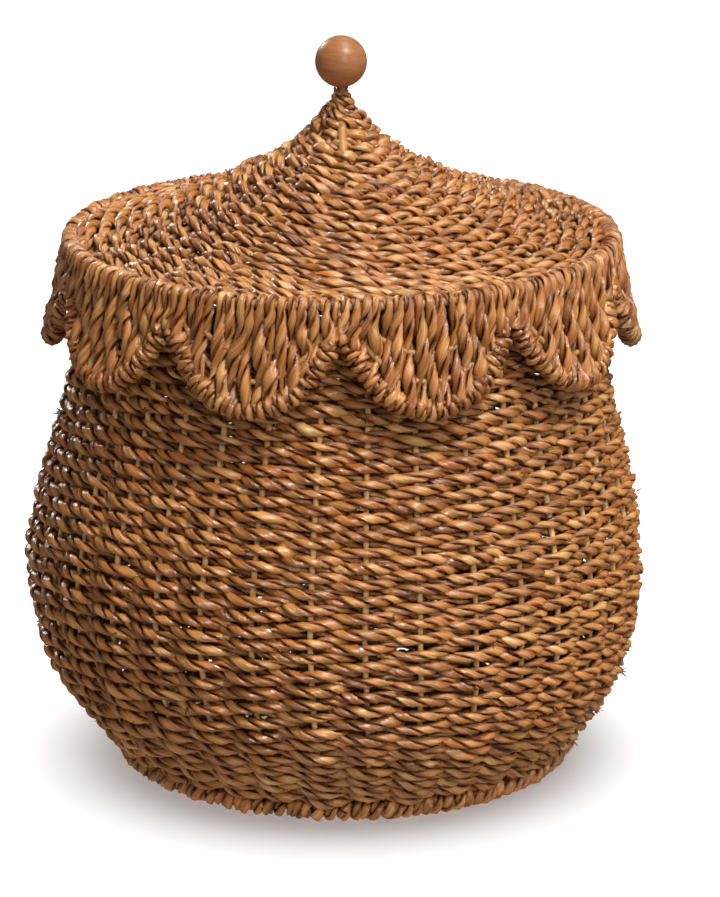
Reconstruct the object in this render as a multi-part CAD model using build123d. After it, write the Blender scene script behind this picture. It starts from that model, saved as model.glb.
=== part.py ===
from build123d import *
import math
import os

# Round lidded storage basket: a bellied body and a tent-shaped lid with a scalloped valance,
# both woven from twisted two-ply rush cord over round cane, with a turned wooden knob.
# Millimetres. The origin is the centre of the basket's foot on the floor, +Z is up and is the
# axis of the basket, and -Y is the front. Woven pieces are closed solids of their true outer
# shape and thickness; the canes, hoops and sticks inside them are real rods.

# Cane and hoop rods
CANE_R = 1.75
HOOP_R = 2.5

# Body: outer surface of the woven wall as (radius, height), from the foot up to the mouth
WALL_OUTER = [(147, 13), (162, 32), (180.5, 61), (190.5, 100), (192.5, 128), (186.5, 175),
              (173, 225), (165, 262), (161.5, 285), (159.5, 306)]
WALL_THICK = 11.5
STAKE_COUNT = 35
STAKE_FIRST = 5.9      # degrees from the front to the first stake, towards +X
STAKE_BOTTOM = (139.8, 5)
STAKE_TOP = (153.7, 313)

# Foot and base
FOOT_R = 146
FOOT_WIDTH = 15
FOOT_HEIGHT = 13
FOOT_ROUND = 4
FOOT_HOOP = (134.8, 6.5)
BASE_R = FOOT_R - FOOT_WIDTH
BASE_UNDER = 3         # the woven base hangs this far above the floor
STICKS_WIDE = 5        # base sticks of the lower layer, run along X
STICKS_CROSS = 4       # base sticks of the upper layer, run along Y
STICK_PITCH = 4.2
STICK_FAN = 20         # degrees between neighbouring stick ends
STICK_BEND = 24        # distance from the centre at which the sticks fan out
STICK_END = BASE_R - 4

# Mouth border, on which the lid sits
MOUTH_R = 159.5
MOUTH_BOTTOM = 306
MOUTH_TOP = 322
MOUTH_WIDTH = 11.5
MOUTH_ROUND = 4
MOUTH_HOOP = (153.7, 317)

# Lid: upper surface of the woven tent as (radius, height), from the neck to the rim
SEAT_GAP = 0.3
LID_TOP = [(17, 405.5), (23.5, 399.5), (32, 392), (40, 386.5), (55, 378), (81, 364.5),
           (110, 350.5), (135, 341.5), (161.5, 336)]
LID_UNDER = [(2.5, 393), (21, 386), (37, 374), (55, 363.5), (81, 350.5), (110, 337.5),
             (135, 328.5), (148, 322.3)]
LID_EDGE_R = 161.5
SPOKES_LONG = 13
SPOKES_SHORT = 12
SPOKE_FIRST = 4.5      # degrees from the front to the first long spoke, towards +X
SPOKE_SINK = 5         # depth of the spokes' centre line below the upper surface
SPOKE_LONG_START = 12
SPOKE_SHORT_START = 46
SPOKE_END = 159

# Lid rim and valance
RIM_R = 173
RIM_BOTTOM = 326
RIM_TOP = 338.5
RIM_ROUND = 4.5
RIM_HOOP = (167.3, 332.5)
SCALLOP_COUNT = 10
SCALLOP_ANGLE = 360 / SCALLOP_COUNT
SCALLOP_TIP = (186, 265)       # outer surface at the lowest point, (radius, height)
SCALLOP_THICK = 9.5
NOTCH_HEIGHT = 311
# One half of the scallop's edge: (share of the half angle, share of the notch-to-tip drop)
SCALLOP_EDGE = [(1, 0), (0.9, 0.2), (0.7, 0.55), (0.42, 0.86), (0, 1)]
EDGE_INSET = 4.5
EDGE_TOP = 322
RIB_LINES = [(0.88, 286), (0.72, 303)]    # (share of the half angle, lowest height) of each rib

# Knob
BALL_R = 16
BALL_CENTRE = 443
BALL_TOP = 458.3       # the ball is turned slightly flat here
PEG_R = 2.5
PEG_BOTTOM = 390
PLUG_R = 5.5
PLUG_DEPTH = 6
NECK_OUTER = [(17, 405.5), (12.5, 411), (8.6, 417.5), (5.6, 424), (4.8, 427.2)]

FRONT = -90            # polar angle of the front of the basket


def moved_inwards(points, distance):
    """Points of a profile moved square to it, towards the axis."""
    moved = []
    for i, (r, z) in enumerate(points):
        before = points[max(i - 1, 0)]
        after = points[min(i + 1, len(points) - 1)]
        dr = after[0] - before[0]
        dz = after[1] - before[1]
        length = math.hypot(dr, dz)
        moved.append((r - distance * dz / length, z + distance * dr / length))
    return moved


def turned(*curves):
    """Solid of revolution about Z from the curves of a closed section."""
    section = Plane.XZ * make_face(Curve() + list(curves))
    return revolve(section, axis=Axis.Z)


def ring(inner, outer, bottom, top, rounding):
    """Ring of rectangular section with rounded corners."""
    section = RectangleRounded(outer - inner, top - bottom, rounding)
    place = Plane.XZ * Pos((inner + outer) / 2, (bottom + top) / 2)
    return revolve(place * section, axis=Axis.Z)


def hoop(centre):
    """Round rod bent into a full circle at (radius, height)."""
    return Pos(0, 0, centre[1]) * Torus(centre[0], HOOP_R)


def cane(points):
    """Round cane along straight runs joined by arcs as large as the runs allow."""
    places = [Vector(*p) for p in points]
    radii = []
    for before, corner, after in zip(places, places[1:], places[2:]):
        shorter = min((corner - before).length, (after - corner).length)
        turn = math.radians((corner - before).get_angle(after - corner))
        radii.append(0.45 * shorter / math.tan(turn / 2))
    path = FilletPolyline(*places, radius=radii)
    return sweep(Plane(origin=path @ 0, z_dir=path % 0) * Circle(CANE_R), path=path)


def profile_cane(profile):
    """Cane that follows a (radius, height) profile in the XZ plane."""
    return cane([(r, 0, z) for r, z in profile])


def around(piece, count, first, step):
    """Copies of a piece that lies at polar angle 0, turned about the axis."""
    return [Rot(0, 0, first + step * i) * piece for i in range(count)]


def body_weave():
    inner = moved_inwards(WALL_OUTER, WALL_THICK)
    inner[0] = (WALL_OUTER[0][0] - WALL_THICK, FOOT_HEIGHT)
    inner[-1] = (MOUTH_R - MOUTH_WIDTH, MOUTH_BOTTOM)
    return turned(Spline(*WALL_OUTER), Line(WALL_OUTER[-1], inner[-1]),
                  Spline(*inner[::-1]), Line(inner[0], WALL_OUTER[0]))


def stakes():
    middle = moved_inwards(WALL_OUTER, WALL_THICK / 2)
    stake = profile_cane([STAKE_BOTTOM] + middle[1:-1] + [STAKE_TOP])
    return around(stake, STAKE_COUNT, FRONT + STAKE_FIRST, 360 / STAKE_COUNT)


def stick_layer(count, height, heading):
    """Base sticks side by side at the centre, fanned out towards both ends."""
    sticks = []
    for i in range(count):
        place = i - (count - 1) / 2
        fan = math.radians(STICK_FAN * place)
        side = STICK_PITCH * place
        near = (STICK_BEND, side * 1.25, height)
        end = (STICK_END * math.cos(fan), STICK_END * math.sin(fan), height)
        if place:
            points = [(-end[0], end[1], height), (-near[0], near[1], height), near, end]
            stick = cane(points)
        else:
            stick = Pos(0, 0, height) * Rot(0, 90, 0) * Cylinder(CANE_R, 2 * STICK_END)
        sticks.append(Rot(0, 0, heading) * stick)
    return sticks


def base_sticks():
    middle = (BASE_UNDER + FOOT_HEIGHT) / 2
    return stick_layer(STICKS_WIDE, middle - CANE_R, 0) + stick_layer(STICKS_CROSS, middle + CANE_R, 90)


def base_disc():
    thickness = FOOT_HEIGHT - BASE_UNDER
    return Pos(0, 0, BASE_UNDER + thickness / 2) * Cylinder(BASE_R, thickness)


def lid_weave():
    return turned(Spline(*LID_TOP), Line(LID_TOP[-1], (LID_EDGE_R, MOUTH_TOP + SEAT_GAP)),
                  Line((LID_EDGE_R, MOUTH_TOP + SEAT_GAP), LID_UNDER[-1]), Spline(*LID_UNDER[::-1]),
                  Line(LID_UNDER[0], (PEG_R, LID_TOP[0][1])), Line((PEG_R, LID_TOP[0][1]), LID_TOP[0]))


def spoke_profile(start):
    """Centre line of a lid spoke from the given radius out to the rim."""
    middle = moved_inwards(LID_TOP, -SPOKE_SINK)
    kept = [(r, z) for r, z in middle[:-1] if r > start + 6]
    below = [(r, z) for r, z in middle if r <= start + 6] or middle[:1]
    near, far = below[-1], kept[0]
    share = (start - near[0]) / (far[0] - near[0])
    first = (start, near[1] + share * (far[1] - near[1]))
    last = (SPOKE_END, MOUTH_TOP + SPOKE_SINK)
    return [first] + kept + [last]


def lid_spokes():
    long_spoke = profile_cane(spoke_profile(SPOKE_LONG_START))
    short_spoke = profile_cane(spoke_profile(SPOKE_SHORT_START))
    step = 360 / SPOKES_LONG
    first = FRONT + SPOKE_FIRST
    return (around(long_spoke, SPOKES_LONG, first, step)
            + around(short_spoke, SPOKES_SHORT, first + step / 2, step))


def valance_radius(z):
    """Outer radius of the valance, which flares out downwards."""
    tip_r, tip_z = SCALLOP_TIP
    return RIM_R + (tip_r - RIM_R) * (RIM_BOTTOM - z) / (RIM_BOTTOM - tip_z)


def scallop_points(share, top, tip):
    """Points (angle, height) along a U-shaped line of the scallop, from one side to the other."""
    half = [(a * share * SCALLOP_ANGLE / 2, top - drop * (top - tip)) for a, drop in SCALLOP_EDGE]
    return [(-a, z) for a, z in half[:-1]] + half[::-1]


def scallop_panel():
    tip_r, tip_z = SCALLOP_TIP
    corners = [(RIM_R - SCALLOP_THICK, RIM_BOTTOM), (RIM_R, RIM_BOTTOM),
               (tip_r, tip_z), (tip_r - SCALLOP_THICK, tip_z)]
    section = Plane.XZ * make_face(Polyline(*corners, close=True))
    shell = Rot(0, 0, -SCALLOP_ANGLE / 2) * revolve(section, axis=Axis.Z, revolution_arc=SCALLOP_ANGLE)
    edge = [(tip_r * math.sin(math.radians(a)), z) for a, z in scallop_points(1, NOTCH_HEIGHT, tip_z)]
    wide = (edge[-1][0] + 5, RIM_BOTTOM)
    outline = Curve() + [Spline(*edge), Polyline(edge[-1], wide, (-wide[0], wide[1]), edge[0])]
    return shell & extrude(Plane.YZ * make_face(outline), amount=2 * tip_r)


def valance_point(angle, z):
    """Point in the middle of the valance's thickness."""
    r = valance_radius(z) - SCALLOP_THICK / 2
    a = math.radians(angle)
    return (r * math.cos(a), r * math.sin(a), z)


def scallop_edge():
    inset_angle = math.degrees(EDGE_INSET / SCALLOP_TIP[0])
    share = 1 - inset_angle / (SCALLOP_ANGLE / 2)
    line = scallop_points(share, NOTCH_HEIGHT, SCALLOP_TIP[1] + EDGE_INSET)
    tail = share * SCALLOP_ANGLE / 2 + 0.3
    return cane([valance_point(a, z) for a, z in [(-tail, EDGE_TOP)] + line + [(tail, EDGE_TOP)]])


def scallop_ribs():
    ribs = []
    for share, tip in RIB_LINES:
        line = scallop_points(share, EDGE_TOP, tip)
        ribs.append(cane([valance_point(a, z) for a, z in line]))
    return ribs


def neck_binding():
    bottom, top = NECK_OUTER[0][1], NECK_OUTER[-1][1]
    return turned(Spline(*NECK_OUTER), Polyline(NECK_OUTER[-1], (PEG_R, top), (PEG_R, bottom), NECK_OUTER[0]))


def knob_ball():
    ball = Pos(0, 0, BALL_CENTRE) * Sphere(BALL_R)
    flat = Pos(0, 0, BALL_TOP + BALL_R) * Box(4 * BALL_R, 4 * BALL_R, 2 * BALL_R)
    bore = Pos(0, 0, BALL_CENTRE) * Cylinder(PEG_R, 4 * BALL_R)
    pocket = Pos(0, 0, BALL_TOP - PLUG_DEPTH / 2) * Cylinder(PLUG_R, PLUG_DEPTH)
    return ball - flat - bore - pocket


def knob_peg():
    length = BALL_TOP - PLUG_DEPTH - PEG_BOTTOM
    return Pos(0, 0, PEG_BOTTOM + length / 2) * Cylinder(PEG_R, length)


def knob_plug():
    plug = Pos(0, 0, BALL_TOP - PLUG_DEPTH / 2) * Cylinder(PLUG_R, PLUG_DEPTH)
    return fillet(plug.edges().group_by(Axis.Z)[-1], 0.6)


def write(node, shape):
    """Write one sub-part; a list of shapes becomes a group of separate solids."""
    if isinstance(shape, list):
        shape = Compound(children=[Solid(s.solid().wrapped) for s in shape])
    export_step(shape, f"parts/{node}.step")


os.makedirs("parts", exist_ok=True)

write("base_disc", base_disc())
write("base_sticks", base_sticks())
write("foot_hoop", hoop(FOOT_HOOP))
write("foot_border", ring(BASE_R, FOOT_R, 0, FOOT_HEIGHT, FOOT_ROUND))
write("stakes", stakes())
write("body_weave", body_weave())
write("mouth_hoop", hoop(MOUTH_HOOP))
write("mouth_border", ring(MOUTH_R - MOUTH_WIDTH, MOUTH_R, MOUTH_BOTTOM, MOUTH_TOP, MOUTH_ROUND))

write("lid_weave", lid_weave())
write("lid_spokes", lid_spokes())
write("lid_hoop", hoop(RIM_HOOP))
write("lid_rim_border", ring(LID_EDGE_R, RIM_R, RIM_BOTTOM, RIM_TOP, RIM_ROUND))
write("neck_binding", neck_binding())
write("knob_peg", knob_peg())
write("knob_ball", knob_ball())
write("knob_plug", knob_plug())

panel = scallop_panel()
edge_cane = scallop_edge()
rib_canes = scallop_ribs()
for i in range(SCALLOP_COUNT):
    place = Rot(0, 0, FRONT + SCALLOP_ANGLE * (i + 0.5))
    write(f"scallop_{i + 1:02d}", place * panel)
    write(f"scallop_edge_{i + 1:02d}", place * edge_cane)
    write(f"scallop_ribs_{i + 1:02d}", [place * rib for rib in rib_canes])
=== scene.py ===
import math

import bpy
import numpy as np
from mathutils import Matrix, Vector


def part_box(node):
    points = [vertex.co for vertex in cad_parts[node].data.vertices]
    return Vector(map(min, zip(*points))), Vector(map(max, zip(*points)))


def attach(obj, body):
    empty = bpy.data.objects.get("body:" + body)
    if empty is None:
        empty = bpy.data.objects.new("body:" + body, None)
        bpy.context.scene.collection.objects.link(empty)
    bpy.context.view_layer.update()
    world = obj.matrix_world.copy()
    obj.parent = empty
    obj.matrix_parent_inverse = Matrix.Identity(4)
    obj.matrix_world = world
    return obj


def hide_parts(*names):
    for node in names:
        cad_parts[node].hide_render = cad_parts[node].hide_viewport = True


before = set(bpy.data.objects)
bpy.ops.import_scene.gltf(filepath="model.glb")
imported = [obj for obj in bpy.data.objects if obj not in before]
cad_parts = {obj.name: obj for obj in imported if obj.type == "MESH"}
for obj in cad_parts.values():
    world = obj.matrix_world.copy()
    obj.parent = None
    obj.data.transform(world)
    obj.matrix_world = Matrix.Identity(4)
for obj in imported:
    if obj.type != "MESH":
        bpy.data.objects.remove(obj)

# Lidded rush basket. All woven CAD solids are replaced by real cord: two twisted leaf plies,
# woven over and under the canes. Lengths are in mm until a mesh is made; +Z is up, -Y is the front.

MM = 0.001
TAU = 2 * math.pi
FRONT = -TAU / 4
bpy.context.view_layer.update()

# Cord and cane
CORD_R = 3.2
WALL_CORD_R = CORD_R * 1.06
RIM_CORD_R = 3.0        # the cord wound round the mouth and round the scallops' edges
FOOT_CORD_R = 3.3
TWIST = 28.0            # length of one full turn of the two plies
STEP = 2.4              # distance between the rings of a strand's mesh
CANE_R = 1.75
ROW_PITCH = 4.9         # distance between neighbouring rows along the wall
STAKE_COUNT = 35
STAKE_FIRST = math.radians(5.9)
SPOKES_LONG = 13
SPOKE_FIRST = math.radians(4.5)
SPOKE_CHANGE_R = 46     # radius from which the short spokes are woven in too
SWING = 4.2             # how far the cord's centre swings out and in past a stake
WALL_SINK = 5.6         # the stakes' centre line lies this far inside the wall's outer surface
LID_SINK = 5.4          # the same for the lid's upper surface

# Valance
TIP_R = 186.0           # outer radius of the valance at the lowest points
SCALLOP_COUNT = 10
SCALLOP_HALF = TAU / SCALLOP_COUNT / 2
COLUMNS = 17            # cords side by side in one scallop
SCALLOP_EDGE = [(1, 0), (0.9, 0.2), (0.7, 0.55), (0.42, 0.86), (0, 1)]
RIB_LINES = [(0.88, 286), (0.72, 303)]
RIB_TOP = 322
NOTCH_Z = 311
EDGE_INSET = 4.5
PANEL_THICK = 9.5
FAN = 0.16              # how much the columns spread towards the bottom
WRAP_REACH = 3.6        # from the rim hoop's centre to the centre of the cord over it
EDGE_REACH = 4.0        # the same for the cord round a scallop's edge cane

# Border wraps, neck and base
FOOT_SPACING, MOUTH_SPACING, EDGE_SPACING = 6.8, 6.2, 6.4
NECK_SPACING = 10.0     # along the neck, for each of its two cords
BASE_CORD_R = 2.7
BASE_STICK_ENDS = 18    # nine sticks, two ends each
FRONT_SPOKE_R = 3.0

# Camera: focal length in mm, place in metres, and how many degrees it looks down
EYE_LENS = 184.15
EYE_PLACE = (0.0116, -2.7568, 1.0329)
EYE_DOWN = 16.902

# Loose fibre ends
WALL_FRAYS, WALL_TUFTS = 460, 130
LID_FRAYS, LID_TUFTS = 130, 70


# ---- Shapes read from the frame ----

def box_mm(node):
    """Lowest and highest corner of a CAD node."""
    low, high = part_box(node)
    return np.array(low) / MM, np.array(high) / MM


def outside_profile(node, count=90):
    """(radius, height) of the outside of a round node, from its bottom to its top."""
    low, high = box_mm(node)
    points = []
    for z in np.linspace(low[2] + 0.2, high[2] - 0.2, count):
        hit, place, _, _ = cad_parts[node].ray_cast((1, 0.001, z * MM), (-1, 0, 0))
        if hit:
            points.append((math.hypot(place.x, place.y) / MM, z))
    return np.array(points)


def top_profile(node, inner, outer):
    """(radius, height) of the upper side of a round node, from one radius to another."""
    points = []
    for r in np.linspace(inner, outer, 90):
        hit, place, _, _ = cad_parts[node].ray_cast((r * MM, 0.001, 1), (0, 0, -1))
        if hit:
            points.append((r, place.z / MM))
    return np.array(points)


class Profile:
    """A (radius, height) line with its length, read at any distance along it."""

    def __init__(self, points, sink):
        slope = np.gradient(points, axis=0)
        slope /= np.linalg.norm(slope, axis=1)[:, None]
        normal = np.stack([slope[:, 1], -slope[:, 0]], 1)
        if normal[:, 0].mean() + normal[:, 1].mean() < 0:
            normal = -normal
        self.points = points - normal * sink
        self.normal = normal
        steps = np.linalg.norm(np.diff(self.points, axis=0), axis=1)
        self.length = np.concatenate([[0], np.cumsum(steps)])
        self.total = self.length[-1]

    def at(self, s):
        """Point and outward normal, as (radius, height) pairs."""
        point = np.stack([np.interp(s, self.length, self.points[:, i]) for i in (0, 1)], -1)
        normal = np.stack([np.interp(s, self.length, self.normal[:, i]) for i in (0, 1)], -1)
        return point, normal


def polar(r, angle, z):
    """Points, or directions, from a radius, an angle round the axis and a height."""
    return np.stack([r * np.cos(angle), r * np.sin(angle), z + 0 * angle], -1)


def unit(v):
    return v / np.maximum(np.linalg.norm(v, axis=-1, keepdims=True), 1e-9)


def wander(rng, count, step, scale):
    """Smooth random values of about unit size, one every step mm, that change over scale mm."""
    place = np.arange(count) * step / scale
    values = rng.normal(0, 1, int(place[-1]) + 3)
    i = place.astype(int)
    f = place - i
    f = f * f * (3 - 2 * f)
    return values[i] * (1 - f) + values[i + 1] * f


def resample(points, step):
    """Points evenly spaced along a path, and the path's length at each."""
    length = np.concatenate([[0], np.cumsum(np.linalg.norm(np.diff(points, axis=0), axis=1))])
    count = max(int(length[-1] / step) + 1, 4)
    s = np.linspace(0, length[-1], count)
    return np.stack([np.interp(s, length, points[:, i]) for i in range(points.shape[1])], -1)


WALL_LINE = outside_profile("body_weave")
NECK_LINE = outside_profile("neck_binding", 40)[::-1]
LID_LINE = top_profile("lid_weave", 13.5, box_mm("lid_weave")[1][0] - 0.5)
# The real lid's shoulder stands a little higher than the CAD surface.
LID_LINE[:, 1] += np.interp(LID_LINE[:, 0], [115, 150, 165], [0, 0.8, 1.2])


# ---- Strand meshes ----

class Strands:
    """Gathers tubes into one mesh with the attributes that the materials read."""

    def __init__(self):
        self.co, self.fibre, self.leaf, self.quads, self.ends = [], [], [], [], []
        self.used = 0

    def tube(self, centre, across, up, wide, high, along, tone, sides=8, spin=-0.03, folds=None):
        """Closed tube. wide and high are its half sizes along across and up; tone is (n, 2)."""
        n = len(centre)
        a = np.arange(sides) * TAU / sides
        ca, sa = np.cos(a), np.sin(a)
        puff = 1 if folds is None else (1 + folds)[..., None]
        ring = centre[:, None] + puff * (across[:, None] * (wide[:, None] * ca)[..., None]
                                         + up[:, None] * (high[:, None] * sa)[..., None])
        around = a[None] + spin * along[:, None]
        fibre = np.stack([np.repeat(along[:, None], sides, 1), np.cos(around), np.sin(around)], -1)
        # Painted shade: inner is 1 on the side of the tube that faces away from across (for a ply, the
        # side pressed against the other ply), and the rush material darkens the colour there.
        inner = np.broadcast_to(0.5 - 0.5 * ca, (n, sides))
        leaf = np.stack([np.repeat(tone[:, :1], sides, 1), np.repeat(tone[:, 1:], sides, 1), inner], -1)
        index = np.arange(n * sides).reshape(n, sides) + self.used
        nxt = np.roll(index, -1, 1)
        quads = np.stack([index[:-1], nxt[:-1], nxt[1:], index[1:]], -1).reshape(-1, 4)
        if np.dot(np.cross(across[0], up[0]), centre[1] - centre[0]) < 0:
            quads = quads[:, ::-1]
            self.ends += [index[0], index[-1][::-1]]
        else:
            self.ends += [index[0][::-1], index[-1]]
        self.co.append(ring.reshape(-1, 3))
        self.fibre.append(fibre.reshape(-1, 3))
        self.leaf.append(leaf.reshape(-1, 3))
        self.quads.append(quads)
        self.used += n * sides

    def piece(self, name, material, body, slot, nodes=(), move=None):
        """Make the mesh a piece of the scene that rides on a body and stands for CAD nodes."""
        co = np.concatenate(self.co)
        if move is not None:
            co = move(co)
        quads = np.concatenate(self.quads)
        loops = np.concatenate([quads.ravel()] + self.ends)
        sizes = np.concatenate([np.full(len(quads), 4), [len(e) for e in self.ends]]).astype(int)
        mesh = bpy.data.meshes.new(name)
        mesh.vertices.add(len(co))
        mesh.vertices.foreach_set("co", (co * MM).ravel())
        mesh.loops.add(len(loops))
        mesh.loops.foreach_set("vertex_index", loops)
        mesh.polygons.add(len(sizes))
        mesh.polygons.foreach_set("loop_start", np.concatenate([[0], np.cumsum(sizes)[:-1]]))
        mesh.update(calc_edges=True)
        for key, values in (("fibre", self.fibre), ("leaf", self.leaf)):
            layer = mesh.attributes.new(key, "FLOAT_VECTOR", "POINT")
            layer.data.foreach_set("vector", np.concatenate(values).ravel())
        mesh.shade_smooth()
        mesh.materials.append(material)
        thing = bpy.data.objects.new(name, mesh)
        bpy.context.scene.collection.objects.link(thing)
        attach(thing, body)
        if nodes:
            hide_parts(*nodes)


def leaf_run(rng, along, shade, shortest=90, longest=300):
    """Tone and warmth of the leaves spliced into one ply, and how far each point is from a splice."""
    count = int(along[-1] / shortest) + 3
    ends = np.cumsum(rng.uniform(shortest, longest, count)) - rng.uniform(0, longest)
    which = np.clip(np.searchsorted(ends, along), 1, count - 1)
    tone = rng.normal(shade + 0.01, 0.09, count)[which]
    warmth = rng.normal(0.5, 0.17, count)[which]
    near = np.minimum(np.abs(along - ends[which]), np.abs(along - ends[which - 1]))
    return np.stack([tone, warmth], -1), near


def cord(strands, path, out, rng, radius=CORD_R, twist=TWIST, sides=8, flat=0.84, shade=0.5):
    """Twisted two-ply cord along a path of evenly spaced points. out points away from the basket.

    radius may vary along the path. strands is one Strands, or a list that shares the length evenly."""
    n = len(path)
    tangent = unit(np.gradient(path, axis=0))
    out = unit(out - (out * tangent).sum(-1, keepdims=True) * tangent)
    side = np.cross(out, tangent)
    step = np.linalg.norm(np.diff(path, axis=0), axis=1).mean()
    along = np.arange(n) * step
    turn = -TAU * along / twist + 0.8 * wander(rng, n, step, 45) + rng.uniform(0, TAU)
    thick = radius * np.clip(1 + 0.09 * wander(rng, n, step, 26), 0.8, 1.22)
    shares = strands if isinstance(strands, list) else [strands]
    edges = np.linspace(0, n - 1, len(shares) + 1).astype(int)
    for k in range(2):
        angle = (turn + math.pi * k)[:, None]
        away = np.cos(angle) * out + np.sin(angle) * side
        over = -np.sin(angle) * out + np.cos(angle) * side
        tone, near = leaf_run(rng, along, shade)
        tone = tone + (0.06, 0) * wander(rng, n, step, 10)[:, None]
        plump = 1 + 0.10 * wander(rng, n, step, 9) - 0.22 * np.exp(-(near / 7) ** 2)
        wide = thick * 0.52 * np.clip(plump, 0.6, 1.4)
        high = thick * flat * np.clip(1 + 0.10 * wander(rng, n, step, 14), 0.7, 1.35)
        centre = path + away * (thick * 0.51)[:, None]
        folds = np.stack([0.10 * wander(rng, n, step, 24) + 0.06 * wander(rng, n, step, 7)
                          for _ in range(sides)], -1)
        mark = rng.uniform(0, 5000)
        for share, a, b in zip(shares, edges[:-1], edges[1:]):
            cut = slice(a, b + 1)
            share.tube(centre[cut], away[cut], over[cut], wide[cut], high[cut],
                       along[cut] + mark, tone[cut], sides, folds=folds[cut])


def cane(strands, points, out, rng, radius=CANE_R):
    """Round cane with the slight waver and swellings of the real thing."""
    path = resample(points, 5)
    n = len(path)
    tangent = unit(np.gradient(path, axis=0))
    out = unit(out - (out * tangent).sum(-1, keepdims=True) * tangent)
    side = np.cross(out, tangent)
    path = path + side * (0.25 * wander(rng, n, 5, 60))[:, None]
    size = radius * (1 + 0.04 * wander(rng, n, 5, 25))
    tone = np.full((n, 2), 0.5) + rng.normal(0, 0.16, 2)
    along = np.arange(n) * 5 + rng.uniform(0, 5000)
    strands.tube(path, out, side, size, size, along, tone, sides=9, spin=0.0)


def frays(strands, roots, out, tangent, rng, count, longest=9):
    """Loose fibre ends that stand out from the surface at random places of a path."""
    for i in rng.integers(0, len(roots), count):
        length = rng.uniform(3, longest)
        t = np.linspace(0, 1, 5)[:, None]
        aim = unit(out[i] * rng.uniform(0.25, 1.0) + tangent[i] * rng.normal(0, 0.8)
                   + rng.normal(0, 0.35, 3))
        bend = rng.normal(0, 0.35, 3) * length
        centre = roots[i] + out[i] * (CORD_R * 0.7) + aim * length * t + bend * t * t
        side = unit(np.cross(aim, rng.normal(0, 1, 3)))
        up = np.cross(side, aim)
        size = 0.42 * (1.05 - t[:, 0])
        tone = np.full((5, 2), 0.5) + rng.normal(0, 0.2, 2)
        strands.tube(centre, np.repeat(side[None], 5, 0), np.repeat(up[None], 5, 0),
                     size, size * 0.5, t[:, 0] * length, tone, 3)


def tufts(strands, roots, out, rng, count):
    """Short frayed ends in small clumps, where a leaf was cut or spliced."""
    for i in rng.integers(0, len(roots), count):
        aim = unit(out[i] + rng.normal(0, 0.7, 3))
        root = roots[i] + out[i] * CORD_R * rng.uniform(0.6, 0.9)
        for _ in range(rng.integers(4, 9)):
            heading = unit(aim + rng.normal(0, 0.55, 3))
            length = rng.uniform(2, 5.5)
            t = np.linspace(0, 1, 4)[:, None]
            centre = root + rng.normal(0, 0.8, 3) + heading * length * t
            side = unit(np.cross(heading, rng.normal(0, 1, 3)))
            up = np.cross(side, heading)
            size = 0.75 * (1.1 - 0.8 * t[:, 0])
            tone = np.full((4, 2), 0.45) + rng.normal(0, 0.2, 2)
            strands.tube(centre, np.repeat(side[None], 4, 0), np.repeat(up[None], 4, 0),
                         size, size * 0.45, t[:, 0] * length, tone, 4)


# ---- Woven surfaces ----

def spiral(profile, start, end, pitch, wave, swing, rng, turns_from=0.0, step=STEP,
           closed=(0, 0)):
    """One cord woven in a spiral along a profile. wave(angle) gives its phase past the stakes.

    closed adds a level turn at the start, at the end, or at both, to close the gap there."""
    turns = (end - start) / pitch + closed[0] + closed[1]
    coarse = np.linspace(0, turns * TAU, int(turns * 90) + 2)
    radius = profile.at(np.clip(start + pitch * (coarse / TAU - closed[0]), start, end))[0][:, 0]
    length = np.concatenate([[0], np.cumsum(np.diff(coarse) * (radius[1:] + radius[:-1]) / 2)])
    count = int(length[-1] / step)
    angle = np.interp(np.linspace(0, length[-1], count), length, coarse)
    s = np.clip(start + pitch * (angle / TAU - closed[0]), start, end)
    s = s + 0.72 * wander(rng, count, step, 32) + 0.25 * wander(rng, count, step, 300)
    point, normal = profile.at(s)
    swing = swing * (1 + 0.09 * wander(rng, count, step, 50))
    offset = swing * np.cos(wave(angle + turns_from)) + 0.5 * wander(rng, count, step, 36)
    point = point + normal * offset[:, None]
    angle = angle + turns_from
    return polar(point[:, 0], angle, point[:, 1]), polar(normal[:, 0], angle, normal[:, 1])


def even_wave(count, first):
    """Phase of a weave over and under count evenly spaced sticks."""
    return lambda angle: count * (angle - first) / 2


def wave_past(spokes, first):
    """Phase that turns by half a wave from each spoke to the next, for uneven spokes."""
    marks = np.concatenate([np.sort(spokes - first), [TAU]])
    steps = np.arange(len(marks)) * math.pi

    def wave(angle):
        turns = np.floor((angle - first) / TAU)
        return steps[-1] * turns + np.interp(angle - first - turns * TAU, marks, steps)

    return wave


# ---- Materials ----

def node_kit(name):
    """New material, its shader, and functions that add a node and join an output to the shader."""
    material = bpy.data.materials.new(name)
    material.use_nodes = True
    tree = material.node_tree
    shader = tree.nodes["Principled BSDF"]

    def node(kind, **inputs):
        made = tree.nodes.new(kind)
        for key, value in inputs.items():
            key = int(key[1:]) if key[0] == "i" and key[1:].isdigit() else key.replace("_", " ")
            if isinstance(value, bpy.types.NodeSocket):
                tree.links.new(value, made.inputs[key])
            else:
                made.inputs[key].default_value = value
        return made

    def join(output, target):
        tree.links.new(output, shader.inputs[target])

    return material, shader, node, join


def ramp(node, fac, stops):
    made = node("ShaderNodeValToRGB", Fac=fac)
    line = made.color_ramp
    while len(line.elements) < len(stops):
        line.elements.new(0.5)
    for element, (place, colour) in zip(line.elements, stops):
        element.position = place
        element.color = (*colour, 1)
    return made.outputs["Color"]


def maths(node, operation, a, b):
    made = node("ShaderNodeMath", i0=a, i1=b)
    made.operation = operation
    return made.outputs[0]


def stretched(node, vector, scale):
    made = node("ShaderNodeVectorMath", i0=vector, i1=scale)
    made.operation = "MULTIPLY"
    return made.outputs[0]


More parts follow.
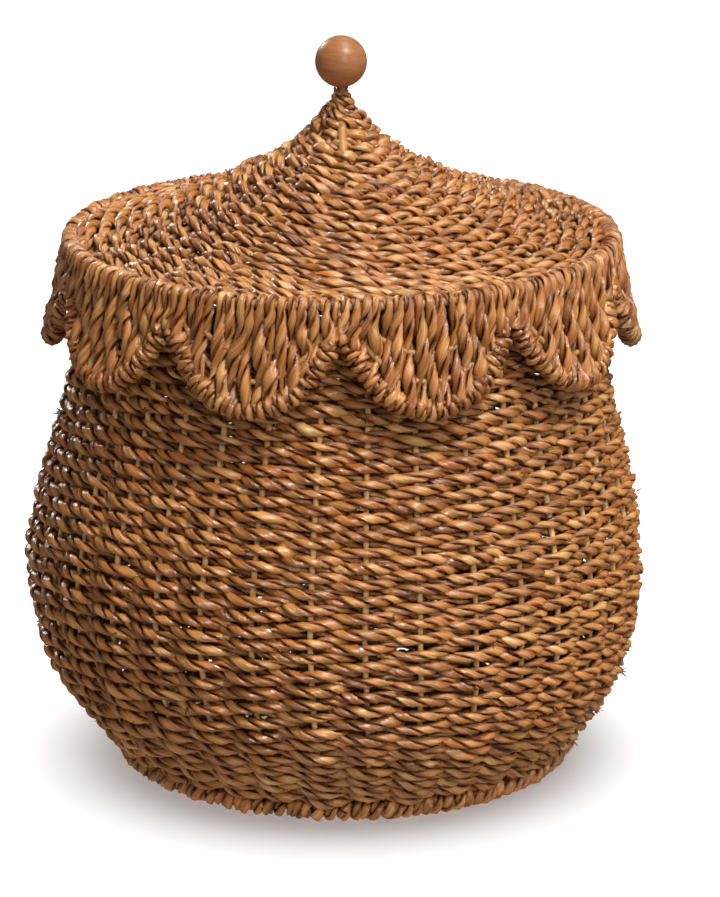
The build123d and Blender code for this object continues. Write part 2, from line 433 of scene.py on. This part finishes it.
def rush_material():
    """Twisted rush leaf: streaks along the fibres, tone by leaf, waxy shine, and painted shade that
    darkens the plies' inner sides.
    """
    material, shader, node, join = node_kit("rush")
    leaf = node("ShaderNodeAttribute")
    leaf.attribute_name = "leaf"
    fibre = node("ShaderNodeAttribute")
    fibre.attribute_name = "fibre"
    parts = node("ShaderNodeSeparateXYZ", Vector=leaf.outputs["Vector"])
    fine = node("ShaderNodeTexNoise", Scale=1.0, Detail=3.0, Roughness=0.6,
                Vector=stretched(node, fibre.outputs["Vector"], (0.09, 4.5, 4.5)))
    broad = node("ShaderNodeTexNoise", Scale=1.0, Detail=2.0, Roughness=0.5,
                 Vector=stretched(node, fibre.outputs["Vector"], (0.05, 1.3, 1.3)))
    tone = maths(node, "ADD", parts.outputs["X"],
                 maths(node, "MULTIPLY", maths(node, "SUBTRACT", fine.outputs["Fac"], 0.5), 0.42))
    tone = maths(node, "ADD", tone,
                 maths(node, "MULTIPLY", maths(node, "SUBTRACT", broad.outputs["Fac"], 0.5), 0.75))
    # Painted shade: darker colour on the inner sides of the plies, where they press together, read from
    # the leaf attribute's third value.
    tone = maths(node, "SUBTRACT", tone, maths(node, "MULTIPLY", parts.outputs["Z"], 0.36))
    colour = ramp(node, tone, [(0.0, (0.13, 0.037, 0.008)), (0.28, (0.33, 0.114, 0.026)),
                               (0.5, (0.50, 0.203, 0.052)), (0.72, (0.66, 0.33, 0.105)),
                               (1.0, (0.83, 0.53, 0.24))])
    warm = ramp(node, parts.outputs["Y"], [(0.0, (0.86, 0.97, 0.94)), (0.35, (0.97, 1.0, 1.0)),
                                           (0.7, (1.02, 0.97, 0.95)), (1.0, (1.07, 0.85, 0.74))])
    tint = node("ShaderNodeMix")
    tint.data_type = "RGBA"
    tint.blend_type = "MULTIPLY"
    tint.inputs["Factor"].default_value = 1.0
    material.node_tree.links.new(colour, tint.inputs["A"])
    material.node_tree.links.new(warm, tint.inputs["B"])
    join(tint.outputs["Result"], "Base Color")
    rough = maths(node, "ADD", maths(node, "MULTIPLY", fine.outputs["Fac"], 0.3), 0.06)
    join(rough, "Roughness")
    crease = maths(node, "ADD", fine.outputs["Fac"], maths(node, "MULTIPLY", broad.outputs["Fac"], 1.6))
    bump = node("ShaderNodeBump", Strength=0.7, Distance=0.001, Height=crease)
    join(bump.outputs["Normal"], "Normal")
    shader.inputs["Specular IOR Level"].default_value = 0.9
    shader.inputs["Coat Weight"].default_value = 0.15
    shader.inputs["Coat Roughness"].default_value = 0.18
    return material


def cane_material():
    """Pale round cane with fine long fibres."""
    material, shader, node, join = node_kit("cane")
    leaf = node("ShaderNodeAttribute")
    leaf.attribute_name = "leaf"
    fibre = node("ShaderNodeAttribute")
    fibre.attribute_name = "fibre"
    parts = node("ShaderNodeSeparateXYZ", Vector=leaf.outputs["Vector"])
    fine = node("ShaderNodeTexNoise", Scale=1.0, Detail=3.0, Roughness=0.6,
                Vector=stretched(node, fibre.outputs["Vector"], (0.05, 4.0, 4.0)))
    tone = maths(node, "ADD", parts.outputs["X"],
                 maths(node, "MULTIPLY", maths(node, "SUBTRACT", fine.outputs["Fac"], 0.5), 1.0))
    colour = ramp(node, tone, [(0.0, (0.52, 0.27, 0.09)), (0.5, (0.80, 0.47, 0.19)),
                               (1.0, (0.88, 0.60, 0.29))])
    join(colour, "Base Color")
    join(maths(node, "ADD", maths(node, "MULTIPLY", fine.outputs["Fac"], 0.3), 0.3), "Roughness")
    bump = node("ShaderNodeBump", Strength=0.35, Distance=0.0003, Height=fine.outputs["Fac"])
    join(bump.outputs["Normal"], "Normal")
    return material


def solid_cane_material():
    """A darker cane for the carried-over rods, which have no fibre attribute: painted shade on the rods
    hidden under the cords and on the scallops' ribs and edge canes, and the front spoke's own darker
    tan.
    """
    material, shader, node, join = node_kit("cane_rod")
    place = node("ShaderNodeTexCoord")
    fine = node("ShaderNodeTexNoise", Scale=900.0, Detail=3.0, Vector=place.outputs["Object"])
    broad = node("ShaderNodeTexNoise", Scale=60.0, Detail=2.0, Vector=place.outputs["Object"])
    tone = maths(node, "ADD", maths(node, "MULTIPLY", fine.outputs["Fac"], 0.5),
                 maths(node, "MULTIPLY", broad.outputs["Fac"], 0.5))
    colour = ramp(node, tone, [(0.3, (0.26, 0.115, 0.036)), (0.55, (0.42, 0.20, 0.066)),
                               (0.75, (0.56, 0.32, 0.125))])
    join(colour, "Base Color")
    join(maths(node, "ADD", maths(node, "MULTIPLY", fine.outputs["Fac"], 0.3), 0.3), "Roughness")
    bump = node("ShaderNodeBump", Strength=0.3, Distance=0.0002, Height=fine.outputs["Fac"])
    join(bump.outputs["Normal"], "Normal")
    return material


def wood_material(name, dark, light):
    """Turned wood under satin lacquer: stretched grain round a tilted axis, fine pores."""
    material, shader, node, join = node_kit(name)
    place = node("ShaderNodeTexCoord")
    turned = node("ShaderNodeMapping", Vector=place.outputs["Object"])
    turned.inputs["Rotation"].default_value = (0.1, 0.06, 0.5)
    turned.inputs["Scale"].default_value = (60, 60, 900)
    grain = node("ShaderNodeTexNoise", Scale=1.0, Detail=5.0, Distortion=0.3,
                 Vector=turned.outputs["Vector"])
    pores = node("ShaderNodeTexNoise", Scale=1500.0, Detail=2.0, Vector=place.outputs["Object"])
    colour = ramp(node, grain.outputs["Fac"], [(0.3, dark), (0.7, light)])
    join(colour, "Base Color")
    join(maths(node, "ADD", maths(node, "MULTIPLY", pores.outputs["Fac"], 0.2), 0.3), "Roughness")
    bump = node("ShaderNodeBump", Strength=0.12, Distance=0.0002, Height=pores.outputs["Fac"])
    join(bump.outputs["Normal"], "Normal")
    shader.inputs["Coat Weight"].default_value = 0.06
    shader.inputs["Coat Roughness"].default_value = 0.3
    shader.inputs["Specular IOR Level"].default_value = 0.35
    return material


def floor_material():
    """Matt pale grey that glows a little, so that the floor comes out near white."""
    material, shader, _, _ = node_kit("floor")
    shader.inputs["Base Color"].default_value = (0.7, 0.7, 0.7, 1)
    shader.inputs["Roughness"].default_value = 0.9
    shader.inputs["Specular IOR Level"].default_value = 0.0
    shader.inputs["Emission Color"].default_value = (1, 1, 1, 1)
    shader.inputs["Emission Strength"].default_value = 0.28
    return material


RUSH = rush_material()
CANE = cane_material()
CANE_ROD = solid_cane_material()


# ---- The basket's body ----

def lean(co):
    """The handmade belly sits a few mm to the left of the foot and the mouth."""
    shift = np.interp(co[:, 2], [0, 30, 60, 130, 200, 262, 320], [2.2, 1.0, -2.0, -4.8, -2.8, 0, 0])
    co = co.copy()
    co[:, 0] += shift
    co[:, 2] = np.maximum(co[:, 2], 0)
    return co


def body_wall():
    """The wall's one cord in six bands, its loose fibres, and the stakes that it goes round."""
    rng = np.random.default_rng(11)
    profile = Profile(WALL_LINE, WALL_SINK)
    first = FRONT + STAKE_FIRST
    even = first + TAU * np.arange(STAKE_COUNT) / STAKE_COUNT
    stakes = even + np.concatenate([[0], rng.normal(0, math.radians(0.55), STAKE_COUNT - 1)])
    wave = wave_past(stakes, first)
    path, out = spiral(profile, 0.8, profile.total, ROW_PITCH, wave, SWING, rng, closed=(1, 1))
    bands = [Strands() for _ in range(6)]
    cord(bands, path, out, rng, WALL_CORD_R)
    for i, band in enumerate(bands):
        nodes = ["body_weave"] if i == 0 else []
        band.piece(f"wall_band_{i + 1}", RUSH, "basket", "rush_cord", nodes, lean)
    loose = Strands()
    frays(loose, path, out, unit(np.gradient(path, axis=0)), rng, WALL_FRAYS)
    tufts(loose, path, out, rng, WALL_TUFTS)
    loose.piece("wall_frays", RUSH, "basket", "rush_cord", (), lean)
    uprights = Strands()
    top = (profile.points[-1][0], box_mm("mouth_border")[1][2] - 4)
    line = np.concatenate([[(profile.points[0][0] - 4, 9.0)], profile.points[4:-2], [top]])
    for a in stakes:
        points = resample(polar(line[:, 0], np.full(len(line), a), line[:, 1]), 5)
        cane(uprights, points, np.repeat(polar(1.0, np.array(a), 0)[None], len(points), 0), rng)
    uprights.piece("uprights", CANE, "basket", "cane", ["stakes"], lean)


def wrapped_ring(name, node, cord_r, spacing, body, seed, move=None, grow=1.0, rise=0.0):
    """Cord wound round and round a ring of cane, in the space of its CAD solid."""
    rng = np.random.default_rng(seed)
    low, high = box_mm(node)
    outer = high[0]
    middle = (low[2] + high[2]) / 2
    _, place, _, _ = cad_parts[node].ray_cast((0, 0.001, middle * MM), (1, 0, 0))
    inner = place.x / MM
    centre_r, centre_z = (outer + inner) / 2, middle + rise / 2
    wide, tall = (outer - inner) / 2 - cord_r + grow, (high[2] - low[2] + rise) / 2 - cord_r
    wraps = int(TAU * outer / spacing)
    t = np.linspace(0, wraps * TAU, wraps * 40)
    a = FRONT + t / wraps + 0.008 * wander(rng, len(t), 1, 50)
    swell = 1 + 0.10 * wander(rng, len(t), 1, 30)
    r = centre_r + wide * swell * np.cos(t)
    z = centre_z + tall * np.sin(t) * (1 + 0.08 * wander(rng, len(t), 1, 35))
    z = np.maximum(z, low[2] + cord_r * 1.1)
    path = resample(np.concatenate([polar(r, a, z), t[:, None]], 1), STEP)
    t = path[:, 3]
    path = path[:, :3]
    a = np.arctan2(path[:, 1], path[:, 0])
    wound = Strands()
    cord(wound, path, polar(np.cos(t), a, np.sin(t)), rng, cord_r, 24.0)
    wound.piece(name, RUSH, body, "rush_cord", [node], move)


body_wall()
wrapped_ring("foot_wraps", "foot_border", FOOT_CORD_R, FOOT_SPACING, "basket", 21, lean, 0.6, 1.6)
wrapped_ring("mouth_wraps", "mouth_border", RIM_CORD_R, MOUTH_SPACING, "basket", 22)


def base():
    """Two cords chase each other round the crossed base sticks."""
    rng = np.random.default_rng(23)
    low, high = box_mm("base_disc")
    radius, height = high[0], (low[2] + high[2]) / 2
    line = np.stack([np.linspace(9, radius - 1, 60), np.full(60, height)], -1)
    profile = Profile(line[::-1], 0)
    woven = Strands()
    for k in range(2):
        wave = even_wave(BASE_STICK_ENDS, k * TAU / BASE_STICK_ENDS)
        path, out = spiral(profile, 0, profile.total, 2 * ROW_PITCH, wave, 2.2, rng,
                           turns_from=k * math.pi, step=2.6)
        cord(woven, path, out, rng, BASE_CORD_R, TWIST, 6)
    woven.piece("base_weave", RUSH, "basket", "rush_cord", ["base_disc"])


base()


# ---- The lid ----

def lid_top():
    """One cord from the neck to the rim, which takes in the short spokes on its way."""
    rng = np.random.default_rng(31)
    profile = Profile(LID_LINE, LID_SINK)
    first = FRONT + SPOKE_FIRST
    long_spokes = first + TAU * np.arange(SPOKES_LONG) / SPOKES_LONG
    short_spokes = long_spokes[:-1] + TAU / SPOKES_LONG / 2
    all_spokes = np.sort(np.concatenate([long_spokes, short_spokes]))
    change = float(np.interp(SPOKE_CHANGE_R, profile.points[:, 0], profile.length))
    turns = math.ceil(change / ROW_PITCH)
    split = turns * ROW_PITCH
    near = wave_past(long_spokes, first)
    far = wave_past(all_spokes, first)
    inner, inner_out = spiral(profile, 0, split, ROW_PITCH, near, 3.2, rng, first)
    outer, outer_out = spiral(profile, split, profile.total, ROW_PITCH, far, 3.6, rng, first,
                               closed=(0, 1))
    path = np.concatenate([inner, outer[1:]])
    out = np.concatenate([inner_out, outer_out[1:]])
    reach = np.hypot(path[:, 0], path[:, 1])
    thick = CORD_R * (1.02 + 0.22 * np.exp(-(reach / 38) ** 2))
    bands = [Strands() for _ in range(2)]
    cord(bands, path, out, rng, thick, 26.0)
    for i, band in enumerate(bands):
        nodes = ["lid_weave"] if i == 0 else []
        band.piece(f"lid_band_{i + 1}", RUSH, "lid", "rush_cord", nodes)
    loose = Strands()
    frays(loose, path, out, unit(np.gradient(path, axis=0)), rng, LID_FRAYS)
    tufts(loose, path, out, rng, LID_TUFTS)
    loose.piece("lid_frays", RUSH, "lid", "rush_cord")


def valance_radius(z):
    """Middle of the valance's thickness at a height."""
    low, high = box_mm("scallop_01")
    top_r = box_mm("lid_rim_border")[1][0]
    return top_r + (TIP_R - top_r) * (high[2] - z) / (high[2] - low[2]) - PANEL_THICK / 2


def edge_line(share, top, tip):
    """Angle and height along one U-shaped line of a scallop, from side to side."""
    half = np.array([(a * share * SCALLOP_HALF, top - drop * (top - tip)) for a, drop in SCALLOP_EDGE])
    points = np.concatenate([half * (-1, 1), half[::-1][1:]])
    knots = np.concatenate([[0], np.cumsum(np.linalg.norm(np.diff(points * (180, 1), axis=0), axis=1))])
    s = np.linspace(0, knots[-1], 41)
    smooth = np.stack([np.interp(s, knots, points[:, i]) for i in (0, 1)], -1)
    for _ in range(6):
        smooth[1:-1] = (smooth[:-2] + 2 * smooth[1:-1] + smooth[2:]) / 4
    return smooth


def scallop(index):
    """Upright cords side by side, and the cord wound round the edge cane under them."""
    rng = np.random.default_rng(50 + index)
    middle = FRONT + SCALLOP_HALF * (2 * index + 1)
    tip = box_mm("scallop_01")[0][2]
    inset = 1 - EDGE_INSET / TIP_R / SCALLOP_HALF
    edge = edge_line(inset, NOTCH_Z, tip + EDGE_INSET)
    ribs = [edge_line(share, RIB_TOP, low) for share, low in RIB_LINES]
    hoop_low, hoop_high = box_mm("lid_hoop")
    hoop_z = (hoop_low[2] + hoop_high[2]) / 2
    hoop_r = hoop_high[0] - (hoop_high[2] - hoop_low[2]) / 2
    woven = Strands()
    for j in range(COLUMNS):
        share = (j + 0.5) / COLUMNS * 2 - 1
        top_angle = share * SCALLOP_HALF
        column(woven, rng, j, top_angle, middle, edge, ribs, hoop_r, hoop_z, tip)
    edge_binding(woven, rng, edge, middle)
    name = f"scallop_{index + 1:02d}"
    nodes = [name] + (["lid_rim_border"] if index == 0 else [])
    woven.piece(f"{name}_weave", RUSH, "lid", "rush_cord", nodes)


def column(woven, rng, j, top_angle, middle, edge, ribs, hoop_r, hoop_z, tip):
    """One cord of a scallop: over the rim's hoop, past the ribs in turn, down to the edge."""
    span = np.linspace(RIB_TOP, tip, 200)
    fanned = top_angle * (1 + FAN * (hoop_z - span) / 60)
    floor_z = np.interp(fanned, edge[:, 0], edge[:, 1], left=NOTCH_Z, right=NOTCH_Z)
    below = np.nonzero(span <= floor_z)[0]
    end_z = span[below[0]] if len(below) else tip
    marks = [(hoop_z - 7.0, 2.2)]
    sign = 1 if j % 2 else -1
    for rib in ribs[::-1]:
        if abs(top_angle) < rib[:, 0].max() - 0.01:
            z = np.interp(top_angle, rib[:, 0], rib[:, 1])
            if z - end_z > 6:
                marks.append((z, 0.7 + 1.8 * sign))
                sign = -sign
    marks = np.array(marks + [(end_z + 1.0, 1.8)])
    z = np.linspace(marks[0, 0], marks[-1, 0], 60)
    place = np.interp(-z, -marks[:, 0], np.arange(len(marks)))
    i = np.minimum(place.astype(int), len(marks) - 2)
    f = 0.5 - 0.5 * np.cos(math.pi * (place - i))
    r = valance_radius(z) + marks[i, 1] * (1 - f) + marks[i + 1, 1] * f
    reach = WRAP_REACH + rng.normal(0, 0.3)
    wrap = np.linspace(math.radians(160), math.radians(-12), 18)
    over_r, over_z = hoop_r + reach * np.cos(wrap), hoop_z + reach * np.sin(wrap)
    rr = np.concatenate([[over_r[0] + 0.3], over_r, r])
    zz = np.concatenate([[over_z[0] - 5], over_z, z])
    angle = middle + top_angle * (1 + FAN * np.clip(hoop_z - zz, 0, 80) / 60)
    sway = 0.008 * wander(rng, len(zz), 1, 26) * np.clip((hoop_z + 6 - zz) / 20, 0, 1)
    path = resample(polar(rr, angle + sway, zz), STEP)
    a = np.arctan2(path[:, 1], path[:, 0])
    lift = np.clip((path[:, 2] - hoop_z) / reach, -1, 1)
    outward = np.sqrt(1 - lift ** 2) * np.where(np.hypot(path[:, 0], path[:, 1]) < hoop_r, -1, 1)
    low = path[:, 2] < hoop_z - 3
    radius = np.hypot(path[:, 0], path[:, 1])
    ahead = np.clip(radius - valance_radius(path[:, 2]), -2.5, 2.5) / 2.5
    thick = np.interp(hoop_z - path[:, 2], [0, 10, 22], [2.5, 2.95, 3.25]) + 0.55 * ahead * low
    cord(woven, path, polar(np.where(low, 1.0, outward), a, np.where(low, 0.0, lift)), rng,
         thick, 36.0, flat=0.96, shade=0.46)


def edge_binding(woven, rng, edge, middle):
    """Cord wound round the edge cane of a scallop."""
    dense = resample(edge * (180, 1), 1.0)
    angle, height = dense[:, 0] / 180, dense[:, 1]
    line = polar(valance_radius(height), middle + angle, height)
    along = unit(np.gradient(line, axis=0))
    outward = polar(1.0, middle + angle, 0 * angle)
    outward = unit(outward - (outward * along).sum(-1, keepdims=True) * along)
    down = np.cross(along, outward)
    wraps = int(len(line) / EDGE_SPACING)
    t = np.linspace(0, wraps * TAU, wraps * 30)
    where = t / t[-1] * (len(line) - 1) + 0.9 * wander(rng, len(t), 1, 60)
    where = np.clip(where, 0, len(line) - 1)

    def read(values):
        return np.stack([np.interp(where, np.arange(len(line)), values[:, k]) for k in range(3)], -1)

    reach = EDGE_REACH * (1 + 0.09 * wander(rng, len(t), 1, 40))[:, None]
    ray = read(outward) * np.cos(t)[:, None] + read(down) * np.sin(t)[:, None]
    both = resample(np.concatenate([read(line) + ray * reach, ray], 1), STEP)
    cord(woven, both[:, :3], both[:, 3:], rng, RIM_CORD_R, 22.0, shade=0.46)


def neck():
    """Two cords twined down the neck, from under the ball to the top of the woven tent."""
    rng = np.random.default_rng(71)
    profile = Profile(NECK_LINE, 2.6)
    wound = Strands()
    for k in range(2):
        turns = profile.total / NECK_SPACING
        t = np.linspace(0, 1, 260)
        a = t * turns * TAU + k * math.pi
        loose = np.clip(t * 3 - 0.6, 0, 1)
        wave = np.cos(3.5 * a + k * math.pi)
        point, normal = profile.at(np.clip(t * profile.total + 1.3 * loose * np.sin(3.5 * a), 0.5, None))
        r = np.maximum(point[:, 0], 2.8) + loose * 1.5 * wave + 0.3 * wander(rng, len(t), 1, 25)
        path = np.concatenate([polar(r, a, point[:, 1]), polar(normal[:, 0], a, normal[:, 1])], 1)
        path = resample(path, 1.6)
        thick = np.interp(np.arange(len(path)), [0, len(path) * 0.3, len(path)], [2.3, 2.9, 3.7])
        # Painted shade: shade=0.42 paints the neck's cord darker than the wall's, to hold down the key
        # light that falls on the neck.
        cord(wound, path[:, :3], path[:, 3:], rng, thick, 19.0, shade=0.42)
    wound.piece("neck_wraps", RUSH, "lid", "rush_cord", ["neck_binding"])


def front_spoke():
    """The one spoke that shows between the cords at the front of the neck."""
    rng = np.random.default_rng(72)
    below = LID_LINE[(LID_LINE[:, 0] > 18) & (LID_LINE[:, 0] < 33)]
    above = NECK_LINE[NECK_LINE[:, 1] < 410]
    profile = Profile(np.concatenate([above[::3], below]), 2.2)
    point, normal = profile.at(np.linspace(0, profile.total, 40))
    a = np.full(40, FRONT + 0.05)
    shown = Strands()
    path = resample(polar(point[:, 0], a, point[:, 1]), 5)
    out = polar(np.full(len(path), 0.6), np.full(len(path), FRONT), 0.8)
    cane(shown, path, out, rng, FRONT_SPOKE_R)
    shown.piece("front_spoke", CANE_ROD, "lid", "cane")


lid_top()
for number in range(SCALLOP_COUNT):
    scallop(number)
neck()
front_spoke()


# ---- Carried-over CAD pieces ----

BALL_WOOD = wood_material("ball_wood", (0.25, 0.096, 0.034), (0.36, 0.148, 0.052))
PLUG_WOOD = wood_material("plug_wood", (0.30, 0.115, 0.040), (0.40, 0.17, 0.068))


def dress(node, material):
    """Give a carried-over CAD node its material."""
    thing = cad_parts[node]
    thing.material_slots[0].link = "OBJECT"
    thing.material_slots[0].material = material


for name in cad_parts:
    if name in ("knob_ball", "knob_plug"):
        dress(name, BALL_WOOD if name == "knob_ball" else PLUG_WOOD)
    # Painted shade: the hidden rods here and the scallops' edge canes and ribs below take the darker
    # cane_rod colour, as if in the shade under the cords.
    elif name in ("base_sticks", "foot_hoop", "mouth_hoop", "lid_spokes", "lid_hoop", "knob_peg"):
        dress(name, CANE_ROD)
    elif name.startswith(("scallop_edge", "scallop_ribs")):
        dress(name, CANE_ROD)


# ---- Floor, light and camera ----

def stage():
    """Pale floor that only the overhead lamp lights; the other lamps light all but the floor."""
    bpy.ops.mesh.primitive_plane_add(size=12, location=(0, 0, 0))
    floor = bpy.context.object
    floor.name = "floor"
    floor.data.materials.append(floor_material())
    floor.visible_diffuse = False
    floor.visible_glossy = False
    floor.visible_shadow = False
    for name, state in (("all_but_floor", "EXCLUDE"), ("floor_only", "INCLUDE")):
        linked = bpy.data.collections.new(name)
        linked.objects.link(floor)
        linked.collection_objects[0].light_linking.link_state = state
    world = bpy.data.worlds.new("studio")
    bpy.context.scene.world = world
    world.use_nodes = True
    background = world.node_tree.nodes["Background"]
    background.inputs["Color"].default_value = (1, 0.985, 0.97, 1)
    background.inputs["Strength"].default_value = 0.16


def light(name, kind, place, power, size, colour=(1, 1, 1), falls_on="all_but_floor", gloss=True):
    """Lamp that shines from a place towards the middle of the basket, on what it may fall on."""
    data = bpy.data.lights.new(name, kind)
    data.energy = power
    data.color = colour
    if kind == "SUN":
        data.angle = size
    else:
        data.size = size
    lamp = bpy.data.objects.new(name, data)
    lamp.location = place
    aim = np.array([0, 0, 0.25]) - np.array(place)
    lamp.rotation_euler = (math.atan2(math.hypot(aim[0], aim[1]), -aim[2]), 0,
                           math.atan2(aim[1], aim[0]) - TAU / 4)
    bpy.context.scene.collection.objects.link(lamp)
    lamp.light_linking.receiver_collection = bpy.data.collections[falls_on]
    lamp.visible_glossy = gloss


def camera():
    """Long lens from the front, which looks down at the basket as the photo does."""
    data = bpy.data.cameras.new("camera")
    data.lens = EYE_LENS
    data.sensor_width = 36
    data.clip_end = 100
    eye = bpy.data.objects.new("camera", data)
    eye.location = EYE_PLACE
    eye.rotation_euler = (math.radians(90 - EYE_DOWN), 0, 0)
    bpy.context.scene.collection.objects.link(eye)
    bpy.context.scene.camera = eye


stage()
light("key", "SUN", (1.5, -1.7, 3.9), 3.4, math.radians(10), (1, 0.985, 0.96))
light("side", "AREA", (1.9, -0.9, 1.0), 6, 0.6)
light("left", "AREA", (-1.9, -1.2, 0.5), 3.5, 0.6, gloss=False)
light("top", "AREA", (0.4, 0.2, 2.2), 13, 0.6)
light("back", "AREA", (-1.3, 2.1, 1.3), 20, 0.5)
light("bounce", "AREA", (0, 0, -0.02), 15, 3.0, gloss=False)
light("front", "AREA", (0.7, -2.2, 1.5), 20, 0.5)
light("overhead", "SUN", (0, 0.5, 4), 5.4, math.radians(80), falls_on="floor_only")
bpy.context.scene.view_settings.view_transform = "Standard"
camera()
